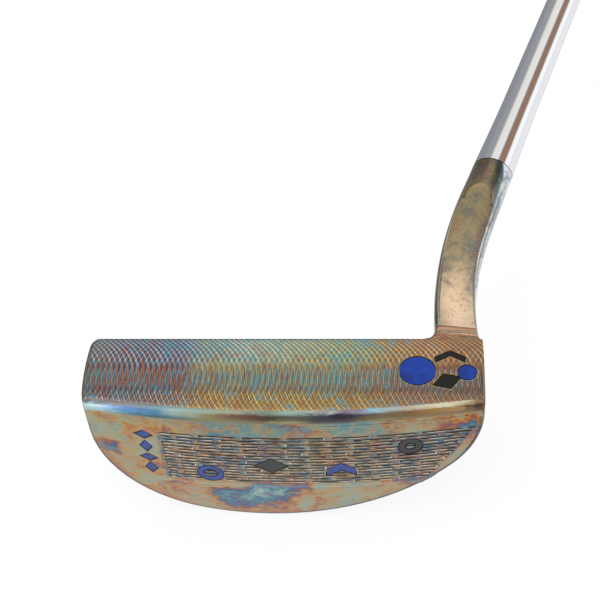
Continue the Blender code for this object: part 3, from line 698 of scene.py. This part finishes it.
def placeOnHead(x, y, z):  # millimetres on the head's axes to the world
    spot = join(x, y, z)
    turned = newField(spot.tree, "ShaderNodeVectorRotate", {
        "Vector": spot, "Rotation": headFrame.to_euler(),
    }, rotation_type="EULER_XYZ")
    return vectorCalc("MULTIPLY_ADD", turned, (mm, mm, mm), headPlace)


def nearMarks(toMark, plan):  # 0 beside the enamel marks, where the milling stops
    return ramp(toMark, plan["markMargin"], plan["markMargin"] + plan["markSoft"])


def objectShape(socket):  # the mesh of an object that the tree is given
    return newField(socket.tree, "GeometryNodeObjectInfo", {"Object": socket}, "Geometry",
                    transform_space="ORIGINAL")


def nearness(shape, target):
    return newField(shape.tree, "GeometryNodeProximity", {0: shape}, "Distance", target_element=target)


def setPlace(geometry, place, **selection):
    return newField(geometry.tree, "GeometryNodeSetPosition",
                    {"Geometry": geometry, "Position": place, **selection})


def store(geometry, name, value):  # keeps a vector on each point
    return newField(geometry.tree, "GeometryNodeStoreNamedAttribute",
                    {"Geometry": geometry, "Name": name, "Value": value}, data_type="FLOAT_VECTOR")


def stored(tree, name):
    return split(newField(tree, "GeometryNodeInputNamedAttribute", {"Name": name},
                          data_type="FLOAT_VECTOR"))


def runTree(tree, name, values):  # evaluates the tree on an empty mesh and keeps the result
    holder = addObject(name, bpy.data.meshes.new(name + "Start"))
    modifier = holder.modifiers.new("shape", "NODES")
    modifier.node_group = tree
    for item in tree.interface.items_tree:
        if item.in_out == "INPUT" and item.name in values:
            modifier[item.identifier] = values[item.name]
    bpy.context.view_layer.update()
    graph = bpy.context.evaluated_depsgraph_get()
    mesh = bpy.data.meshes.new_from_object(holder.evaluated_get(graph))
    bpy.data.objects.remove(holder)
    mesh.name = name
    return addObject(name, mesh)


def fillGuide(prefixes):  # the enamel fills with these names as one mesh, for measuring gaps
    shape = bmesh.new()
    for node in sorted(nodes):
        if node.startswith(prefixes):
            shape.from_mesh(nodes[node].data)
    mesh = bpy.data.meshes.new("fillGuide")
    shape.to_mesh(mesh)
    shape.free()
    return addObject("fillGuide", mesh)


def reliefPatch(name, plan, locate, shape, wanted, material):
    # a closed skin: locate gives a point's place for a height, shape its height, wanted where it ends
    tree, start, end = newGroup(name + "Tree", {
        "Geometry": "Geometry", "Width": "Float", "Depth": "Float", "Columns": "Int", "Rows": "Int",
        "Lift": "Float", "Edge": "Float", "Head": "Object", "Marks": "Object", "Finish": "Material",
    }, {"Geometry": "Geometry"}, "GeometryNodeTree")
    grid = newField(tree, "GeometryNodeMeshGrid", {
        "Size X": start["Width"], "Size Y": start["Depth"],
        "Vertices X": start["Columns"], "Vertices Y": start["Rows"],
    })

    # points that lie far from the head's own surface are dropped
    across, along = split(newField(tree, "GeometryNodeInputPosition"))[:2]
    x = across + (plan["toe"] + plan["heel"]) / 2
    y = along * plan["way"] + (plan["low"] + plan["high"]) / 2
    reach = skinSizes["rayReach"]
    ray = outputsOf(addNode(tree, "GeometryNodeRaycast", {
        "Target Geometry": objectShape(start["Head"]), "Source Position": locate(x, y, reach),
        "Ray Direction": headTurn.col[plan["inward"]], "Ray Length": 2 * reach * mm,
    }))
    slack = plan["tolerance"] * mm
    away = (ray["Hit Distance"] / mm - reach) * plan["follow"]
    if "bridge" in plan:  # a recess that the skin spans
        bridge = plan["bridge"]
        bridged = above(x, bridge["from"]) * above(y, bridge["low"])
        slack = bridged * bridge["deeper"] * mm + slack
        away = away * (1 - bridged * ramp(y, bridge["top"] + bridge["soft"], bridge["top"]))
    missed = above(size(ray["Hit Distance"] - reach * mm), slack)
    missed = largest(largest(missed, 1 - ray["Is Hit"]), 1 - wanted(x, y))
    kept = newField(tree, "GeometryNodeDeleteGeometry", {
        "Geometry": store(grid, "spot", join(x, y, away)), "Selection": missed,
    }, domain="POINT")

    x, y, drop = stored(tree, "spot")
    base = setPlace(kept, locate(x, y, -plan["sunk"]))
    neighbours = newField(tree, "GeometryNodeInputMeshEdgeNeighbors")
    rim = newField(tree, "GeometryNodeSeparateGeometry", {
        "Geometry": base, "Selection": below(neighbours, 1.5),
    }, "Selection", domain="EDGE")
    base = store(base, "gaps", join(nearness(rim, "EDGES") / mm,
                                    nearness(objectShape(start["Marks"]), "FACES") / mm, 0))
    toEdge, toMark = stored(tree, "gaps")[:2]
    rise = outputsOf(addNode(tree, "GeometryNodeExtrudeMesh", {
        "Mesh": base, "Individual": False, "Offset Scale": skinSizes["start"] * mm,
    }))
    height = shape(x, y, toMark) * ramp(toEdge, 0, start["Edge"]) + start["Lift"]
    height = height * (1 - drop / plan["thin"]) - drop
    both = addNode(tree, "GeometryNodeJoinGeometry")
    feed(both.inputs[0], newField(tree, "GeometryNodeFlipFaces", {0: base}))
    feed(both.inputs[0], setPlace(rise["Mesh"], locate(x, y, height), Selection=rise["Top"]))
    merged = newField(tree, "GeometryNodeMergeByDistance", {
        "Geometry": Field(both.outputs[0]), "Distance": skinSizes["merge"] * mm,
    })
    real = newField(tree, "GeometryNodeRealizeInstances", {0: merged})
    feed(end.inputs[0], newField(tree, "GeometryNodeSetMaterial", {
        "Geometry": real, "Material": start["Finish"],
    }))

    width, depth = plan["heel"] - plan["toe"], plan["high"] - plan["low"]
    marks = fillGuide(plan["marks"])
    piece = runTree(tree, name, {
        "Width": float(width), "Depth": float(depth),
        "Columns": round(width / plan["stepAlong"]), "Rows": round(depth / plan["stepUp"]),
        "Lift": plan["lift"], "Edge": plan["edge"],
        "Head": headBody, "Marks": marks, "Finish": material,
    })
    bpy.data.objects.remove(marks)
    piece.data.shade_smooth()
    piece.data.set_sharp_from_angle(angle=math.radians(smoothing["skin"]))
    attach(piece, "root")
    print(name, "has", len(piece.data.polygons), "faces")


# the milled face: arcs that the leading and trailing rims of a fly cutter leave

faceMilling = {
    "cutter": 16.5,  # mm, the cutter's radius
    "middle": -14.4,  # height of the cutter's axis on the face
    "pitch": 1.47,  # feed for each turn
    "phase": 0.35,  # how the trailing arcs fall between the leading ones
    "lens": 4.17,  # half the height of the lenses between the arcs
    "least": 0.3,  # square of the shortest reach
    "relief": 0.11,  # height of the ridges
    "ridge": 2.2,  # how sharp they are
    "lift": 0.03,  # how far the patch stands off the head's own face
    "toe": -56, "heel": 56, "low": -26, "high": 1.9,
    "way": 1, "inward": 1,  # the way its rows go, and the axis that leads into the head
    "top": 1.5,  # the milled area's upper end, on the neck's root
    "stepAlong": 0.22, "stepUp": 0.4,
    "marks": ("face_fill",), "markMargin": 0.2, "markSoft": 0.4,
    "tolerance": 0.4, "sunk": 0.9, "edge": 0.3, "follow": 1, "thin": 0.06,
    "bridge": {"from": 46, "low": -9, "top": -0.5, "soft": 0.3, "deeper": 0.25},
    "bump": 0.00012, "bumpStrength": 0.6,
}
# colours along the face, in mm from toe to heel: ground and painted arc highlights of the upper band, gaps
# and lenses of the middle one, ground and painted stroke highlights of the lower one
faceTints = [
    (-53, (104, 94, 88), (150, 174, 178), (140, 108, 88), (92, 112, 118), (82, 86, 92), (178, 168, 160)),
    (-46, (92, 74, 90), (160, 186, 188), (174, 120, 90), (84, 92, 104), (70, 80, 92), (198, 178, 162)),
    (-36, (84, 66, 88), (160, 186, 188), (178, 120, 90), (74, 84, 98), (72, 80, 92), (198, 178, 160)),
    (-27, (82, 86, 112), (158, 190, 196), (150, 112, 96), (78, 98, 112), (96, 86, 84), (206, 184, 150)),
    (-21, (102, 116, 118), (186, 194, 168), (172, 160, 112), (104, 116, 112), (124, 98, 70), (214, 190, 132)),
    (-8, (114, 138, 138), (198, 200, 168), (156, 150, 108), (90, 114, 112), (122, 100, 72), (214, 196, 138)),
    (6, (126, 128, 106), (192, 194, 152), (156, 144, 102), (90, 128, 124), (118, 98, 66), (208, 186, 128)),
    (19, (106, 122, 104), (178, 186, 150), (156, 140, 98), (92, 126, 122), (114, 96, 66), (204, 182, 128)),
    (26, (118, 102, 76), (194, 178, 128), (152, 124, 86), (94, 106, 100), (108, 88, 70), (202, 174, 124)),
    (36, (116, 84, 60), (206, 166, 118), (142, 102, 76), (94, 92, 84), (102, 80, 64), (192, 156, 112)),
    (46, (110, 76, 54), (208, 158, 110), (128, 88, 64), (92, 82, 72), (96, 74, 60), (176, 142, 106)),
    (54, (104, 76, 54), (184, 146, 102), (116, 86, 60), (88, 76, 62), (90, 70, 54), (156, 126, 90)),
]
# colours of the painted glints where the face's ridges cross, in mm from toe to heel
beadGlintTints = [
    (-50, (222, 186, 156)), (-30, (224, 184, 152)), (-15, (190, 196, 182)), (20, (188, 194, 170)),
    (40, (228, 188, 146)),
]


def arcReach(z, plan):  # half the cutter's width at a height
    drop = z - plan["middle"]
    return root(largest(plan["cutter"] ** 2 - drop * drop, plan["least"]))


def arcPlaces(x, z, plan):  # where a point lies between two leading arcs, and between two trailing ones
    reach = arcReach(z, plan)
    return part((x - reach) / plan["pitch"]), part((x + reach) / plan["pitch"] + plan["phase"])


def offCentre(place):  # 0 midway between two arcs, 1 on an arc
    return size(place * 2 - 1)


def faceHeight(x, z, plan):  # 0 in the valleys, 1 on the ridges
    lead, trail = (offCentre(place) ** plan["ridge"] for place in arcPlaces(x, z, plan))
    share = ramp(z, -9, -3, 0.5, 0.2) + fall(z, -21.5, -17, 0.5)
    return largest(lead * ramp(z, -24, -17, 0.4, 1), trail * share) * 0.75 + lead * trail * 0.45


def locateOnFace(x, z, out):
    return placeOnHead(x, -out, z)


def shapeFace(x, z, toMark):
    return faceHeight(x, z, faceMilling) * faceMilling["relief"] * nearMarks(toMark, faceMilling)


def wholeFace(x, z):
    return below(z, faceMilling["top"])


def milledSteel(where, plan, shine):
    space = useGroup(headSpace, Position=where)
    place, grain = space["Place"], space["Grain"]
    x, z = split(place)[::2]
    mottle = noise(place, 0.75, 4, 0.65, 0.4)
    fleck = noise(place, 1.9, 2, 0.6, stretch=(1, 1, 0.5))
    cloud = noise(place, 0.11, 4, 0.6, 0.5)
    veil = noise(place, 0.24, 3, 0.6, 0.4, (1, 1, 0.8)) + swing(fleck, 0.3)
    warm = ramp(x + swing(cloud, 20), 30, 44, 1, 0.3)
    wander = x + swing(cloud, 18) + swing(mottle, 7)
    tint = [alongHead(wander, faceTints, column) for column in range(1, 7)]
    lead, trail = arcPlaces(x, z, plan)
    leadLine, trailLine = (ramp(offCentre(spot), 0.48, 0.92) for spot in (lead, trail))
    halfLead, halfTrail = (ramp(offCentre(part(spot * 2)), 0.5, 0.9) for spot in (lead, trail))
    # each turn of the cutter cut a little deeper or shallower than the one before
    reach = arcReach(z, plan)
    turns = noise(join(x - reach, z * 0.12, 0), 0.8, 2)
    backs = noise(join(x + reach, z * 0.12, 9), 0.8, 2)
    rise = z + swing(mottle, 6) + swing(turns, 6)
    # the upper band: painted highlights along the arcs, over the ground
    lit = leadLine * ramp(turns, 0.3, 0.7, 0.4, 0.95) + trailLine * ramp(z, -9, -3, 0.45, 0.2)
    top = mix(smallest((lit + halfLead * 0.22) * (fleck + 0.45), 1), tint[0], tint[1])
    # the two families of arcs enclose upright lenses at the cutter's own height
    inside = below(trail, lead) * below(size(z - plan["middle"]), plan["lens"])
    depth = smallest(trail, 1 - lead) * inside - smallest(lead, 1 - trail) * (1 - inside)
    lens = ramp(depth + swing(fleck, 0.25), -0.1, 0.12) * ramp(backs, 0.3, 0.6, 0.6, 1)
    stroke = fall(offCentre(lead) + swing(fleck, 0.5), 0.35, 0.75)
    inner = ramp(wander, -32, -20)  # the lenses turn into strokes towards the toe
    middle = coated(
        tint[2],
        (stroke * (1 - inner) + lens * inner, tint[3]),
        (fall(size(depth), 0, 0.12, 0.75), (84, 64, 78)),
        (ramp(depth, 0.1, 0.18) * fall(depth, 0.2, 0.3, 0.6), (176, 190, 176)))
    # the lower band: painted highlights in short strokes along the trailing arcs
    low = trailLine * ramp(backs, 0.3, 0.7, 0.1, 0.6) * (fleck + 0.45) + leadLine * 0.12 + halfTrail * 0.5
    bottom = mix(smallest(low, 1), tint[4], tint[5])
    # painted glints where the ridges cross, strongest towards the toe
    beadGlint = leadLine * trailLine * ramp(rise, -10.5, -8.5) * ramp(rise, -5.5, -3, 1, 0.25)
    crown = ramp(z + swing(mottle, 2), -1.8, -0.4) * fall(x, 34, 42) * ramp(z, 0.4, 0.2)
    colour = coated(
        middle,
        (ramp(rise, -11.5, -7.5), top),
        (fall(rise, -20.5, -16.5), bottom),
        (beadGlint * ramp(x, -30, -22, 0.9, 0.35), alongHead(wander, beadGlintTints, 1)),
        (band(rise, -20, -18.8, -17.4, -16.2) * 0.4, (84, 94, 102)),
        (crown * 0.5, (66, 98, 116)),
        # heat clouds: teal, copper and violet over the tool marks
        (ramp(veil, 0.52, 0.66, 0, 0.5) * warm, (92, 140, 152)),
        (ramp(veil, 0.46, 0.34, 0, 0.4), (130, 80, 70)),
        (ramp(mottle, 0.52, 0.66, 0, 0.4) * warm, (86, 142, 164)),
        (ramp(mottle, 0.47, 0.34, 0, 0.3), (184, 112, 70)),
        (ramp(fleck, 0.56, 0.72, 0, 0.5) * warm, (80, 66, 104)))
    rich = ramp(x, -30, -10, 1.22, 1.13) * ramp(x, 26, 40, 1, 0.86)
    return {
        "Base Color": vivid(colour, rich, 1.13),
        "Metallic": shine["metallic"],
        "Roughness": grain * 0.15 + 0.22,
        "Normal": bump(faceHeight(x, z, plan) + grain * 0.15, plan["bump"], plan["bumpStrength"]),
    }


reliefPatch("faceMilling", faceMilling, locateOnFace, shapeFace, wholeFace,
            newFinish("milledSteel", milledSteel, faceMilling, steelShine))


# the sole's rows of short milled slots

soleSlots = {
    "camber": 290, "rocker": 220, "drop": 28, "lowest": 14,  # the sole's own form, mm
    "toe": -38, "heel": 56, "low": 4, "high": 33, "way": -1, "inward": 2,
    "slotToe": -33, "slotFront": 8.2, "rowPitch": 1.36, "rowCount": 16,
    "slotLength": 10.3, "slotPitch": 12, "slotRadius": 0.41, "slotDepth": 0.22,
    "slotSoft": 0.07,  # half the width of a slot's rounded edge
    "shift": 0.12, "jitter": 0.05, "jitterStep": 0.377,  # where each row starts, in parts of the pitch
    "heelFront": 51.5, "heelSlope": 0.6,  # the slots' heel end follows the head's outline
    "heelMargin": 2.6, "heelEnd": 2.8, "rimWidth": 2.2, "rimDrop": 0.1,
    "marks": ("sole_fill", "toe_fill"), "markMargin": 0.8, "markSoft": 0.3,
    "stepAlong": 0.34, "stepUp": 0.17,
    "lift": 0.02, "tolerance": 0.35, "sunk": 0.6, "edge": 1.2, "follow": 0, "thin": 1,
}


def soleHeight(x, y, plan):
    back = y - plan["lowest"]
    return x * x / (2 * plan["camber"]) + back * back / (2 * plan["rocker"]) - plan["drop"]


def heelLimit(y, plan):
    return plan["heelFront"] - (y - plan["slotFront"]) * plan["heelSlope"]


def slotPattern(x, y, plan):  # how deep a point lies in a slot, its place across it and its gap to it
    rows = (y - plan["slotFront"]) / plan["rowPitch"]
    row = calc("FLOOR", rows)
    across = (rows - row - 0.5) * plan["rowPitch"]
    shift = calc("MODULO", row, 2) * 0.5 + part(row * plan["jitterStep"]) * plan["jitter"] + plan["shift"]
    count = calc("FLOOR", (x - plan["slotToe"]) / plan["slotPitch"] + shift)
    cap, soft = plan["slotRadius"], plan["slotSoft"]
    left = (count - shift) * plan["slotPitch"] + plan["slotToe"] + cap
    right = smallest(left + (plan["slotLength"] - 2 * cap), heelLimit(y, plan))
    left = largest(left, plan["slotToe"] + cap)
    beyond = largest(largest(left - x, x - right), 0)
    gap = root(beyond * beyond + across * across)
    rowed = below(size(row - (plan["rowCount"] - 1) / 2), plan["rowCount"] / 2)
    return fall(gap, cap - soft, cap + soft) * rowed, across, gap + (1 - rowed) * 9


def locateOnSole(x, y, out):
    return placeOnHead(x, y, soleHeight(x, y, soleSlots) - out)


def shapeSole(x, y, toMark):
    plan = soleSlots
    inside = slotPattern(x, y, plan)[0] * nearMarks(toMark, plan)
    limits = smallest(smallest(x - plan["toe"], heelLimit(y, plan) + plan["heelMargin"] - x),
                      smallest(y - plan["low"], plan["high"] - y))
    raised = ramp(limits, 0, plan["rimWidth"]) * plan["slotDepth"]
    return raised * (1 - inside) - fall(limits, 0, 1, plan["rimDrop"])


def nearSlots(x, y):
    return above(heelLimit(y, soleSlots) + soleSlots["heelEnd"], x)


def slottedSteel(where, plan, shine):
    place, colour, wear, normal = steelBase(where, shine)
    x, y, z = split(place)
    inside, across, gap = slotPattern(x, y, plan)
    slotShade = fall(soleHeight(x, y, plan) - z, 0.07, 0.2) * inside  # painted shade inside the slots, far enough below the skin
    field = fall(gap, 0.6, 2)
    between = field * ramp(gap, 0.45, 0.7)
    spot = noise(place, 0.5, 3, 0.6)
    hue = noise(place, 0.22, 4, 0.6, 0.5, (0.5, 1, 1)) + swing(spot, 0.3)
    gleam = noise(place, 1, 2, stretch=(0.25, 1.5, 1))
    end = noise(place, 0.7, 1)
    # painted highlight on the far wall of each slot, most of all at its heel end, with a painted glint at
    # some slot ends and a painted shadow at others
    farWallHighlight = band(across, 0.24, 0.31, 0.37, 0.46) * ramp(gap, 0.54, 0.42)
    endGlintAndShadow = ramp(root(largest(gap * gap - across * across, 0)), 0.05, 0.2) * ramp(gap, 0.55, 0.4)
    return {
        "Base Color": coated(
            colour,
            (field * 0.5, (112, 98, 92)),
            (field * ramp(hue, 0.46, 0.58, 0, 0.85), (66, 112, 136)),
            (field * ramp(hue, 0.43, 0.32, 0, 0.5), (164, 116, 94)),
            (between * ramp(spot, 0.5, 0.62, 0, 0.7), (56, 100, 128)),
            (between * ramp(spot, 0.45, 0.36, 0, 0.5), (170, 108, 94)),
            # painted shade in a ring round each slot
            (fall(gap, 0.4, 0.66, 0.4), (84, 76, 74)),
            (slotShade * 0.97, (18, 15, 17)),
            (farWallHighlight * ramp(gleam, 0.35, 0.62, 0.2, 0.95), (240, 218, 180)),
            (endGlintAndShadow * ramp(end, 0.6, 0.66), (246, 238, 220)),
            (endGlintAndShadow * ramp(end, 0.5, 0.42), (22, 20, 24))),
        "Metallic": shine["metallic"],
        "Roughness": wear * 0.1 + 0.15,
        "Normal": normal,
    }


reliefPatch("soleSlots", soleSlots, locateOnSole, shapeSole, nearSlots,
            newFinish("slottedSteel", slottedSteel, soleSlots, steelShine))


# shaft, grip and enamel


def chromePlate(where):
    # the base colour turns bluish towards the outline: a painted reflection along the shaft's edge
    rim = ramp(newField(where.tree, "ShaderNodeLayerWeight", output="Facing"), 0.72, 0.86)
    return {
        "Base Color": mix(rim, (226, 227, 231), (168, 180, 206)),
        "Metallic": 1,
        "Roughness": noise(where, 900, 3) * 0.06 + 0.05,
    }


def enamel(where, colour, shine):
    shade = noise(where, 900, 3)
    pool = noise(where, 260, 2, 0.5, 0.4)
    paint = mix(shade, colour, [min(255, value * 1.25 + 6) for value in colour])
    thick = [value * 0.8 for value in colour]
    return {
        "Base Color": mix(ramp(pool, 0.45, 0.62, 0, 0.6), paint, thick),
        "Roughness": shade * 0.1 + 0.38,
        "Specular IOR Level": shine,
        "Normal": bump(shade * 0.5 + pool, 0.00006, 0.5),
    }


gripPattern = {
    "bandPitch": 0.0045, "bandTurns": 22, "cutWidth": 0.1, "depth": 0.0004,
    "plainTop": 0.028, "plainLow": 0.24, "plainSoft": 0.002,  # the pattern's ends, metres from the butt
}


def alongShaft(where):  # metres down the shaft from the butt, and turns about the shaft's axis
    beside = shaftAxis.cross(Vector((0, 0, 1))).normalized()
    spot = vectorCalc("SUBTRACT", where, shaftEnd)
    up, right, back = (vectorCalc("DOT_PRODUCT", spot, axis, output=1)
                       for axis in (shaftAxis, beside, beside.cross(shaftAxis)))
    return -up, calc("ARCTAN2", right, back) / math.tau


def gripRubber(where, plan):
    down, turns = alongShaft(where)
    slant, wound = down / plan["bandPitch"], turns * plan["bandTurns"]
    crossing = smallest(size(part(slant + wound) - 0.5), size(part(slant - wound) - 0.5))
    cut = ramp(crossing, plan["cutWidth"], plan["cutWidth"] * 2)  # 0 in the cuts, 1 on the lands
    wrapped = band(down, plan["plainTop"], plan["plainTop"] + plan["plainSoft"],
                   plan["plainLow"] - plan["plainSoft"], plan["plainLow"])
    land = cut * wrapped - wrapped + 1
    shade = noise(where, 400, 4)
    wearAndHighlight = land * ramp(noise(where, 60, 4, 0.65), 0.5, 0.72, 0, 0.5)
    return {
        "Base Color": coated(
            mix(shade, (30, 30, 33), (42, 42, 45)),
            # painted shade in the cuts
            ((1 - land) * 0.8, (17, 17, 19)),
            (wearAndHighlight, (66, 65, 66))),
        "Roughness": shade * 0.15 + wearAndHighlight * 0.1 + 0.58,
        "Normal": bump(land + shade * 0.2, plan["depth"], 0.8),
    }


def mountingTape(where, turnWidth):  # crinkled paper tape, with the turns of its spiral showing
    down, turns = alongShaft(where)
    edge = size(part(down / turnWidth + turns) - 0.5)
    fibre = noise(where, 900, 4, 0.7)
    crease = noise(join(down, turns, 0), 1, 2, stretch=(700, 9, 1))
    return {
        "Base Color": coated(
            mix(fibre, (204, 192, 160), (226, 216, 188)),
            (fall(edge, 0, 0.03, 0.7), (146, 132, 104))),
        "Roughness": fibre * 0.2 + 0.7,
        "Normal": bump(crease + ramp(edge, 0, 0.03), 0.0001, 0.7),
    }


def hoselEpoxy(where):  # cloudy amber resin with small bubbles
    swirl = noise(where, 220, 4, 0.6, 0.8)
    bubble = noise(where, 1500, 1)
    return {
        "Base Color": coated(
            mix(swirl, (168, 140, 84), (206, 184, 128)),
            (ramp(bubble, 0.62, 0.7), (230, 216, 178))),
        "Roughness": swirl * 0.2 + 0.25,
        "Normal": bump(bubble, 0.00008, 0.5),
    }


tapeTurn = 0.024
finishes = {
    "blue_enamel": newFinish("blueEnamel", enamel, (17, 44, 112), 0.5),
    "black_enamel": newFinish("blackEnamel", enamel, (25, 25, 28), 0.5),
    "white_enamel": newFinish("whiteEnamel", enamel, (225, 225, 222), 0.5),
    "chrome": newFinish("chromePlate", chromePlate),
    "grip_rubber": newFinish("gripRubber", gripRubber, gripPattern),
    "tape": newFinish("mountingTape", mountingTape, tapeTurn),
    "epoxy": newFinish("hoselEpoxy", hoselEpoxy),
}
onFace = {  # duller there
    "blue_enamel": newFinish("faceBlueEnamel", enamel, (12, 42, 116), 0.22),
    "black_enamel": newFinish("faceBlackEnamel", enamel, (16, 15, 17), 0.22),
}
for name in nodes:
    if name != "putter_head":
        finish = (onFace if name.startswith("face_fill") else finishes)[slots[name]]
        smoothCopy(name, name + "_look", smoothing["rest"], finish)
print("shaft, grip and enamel ready")
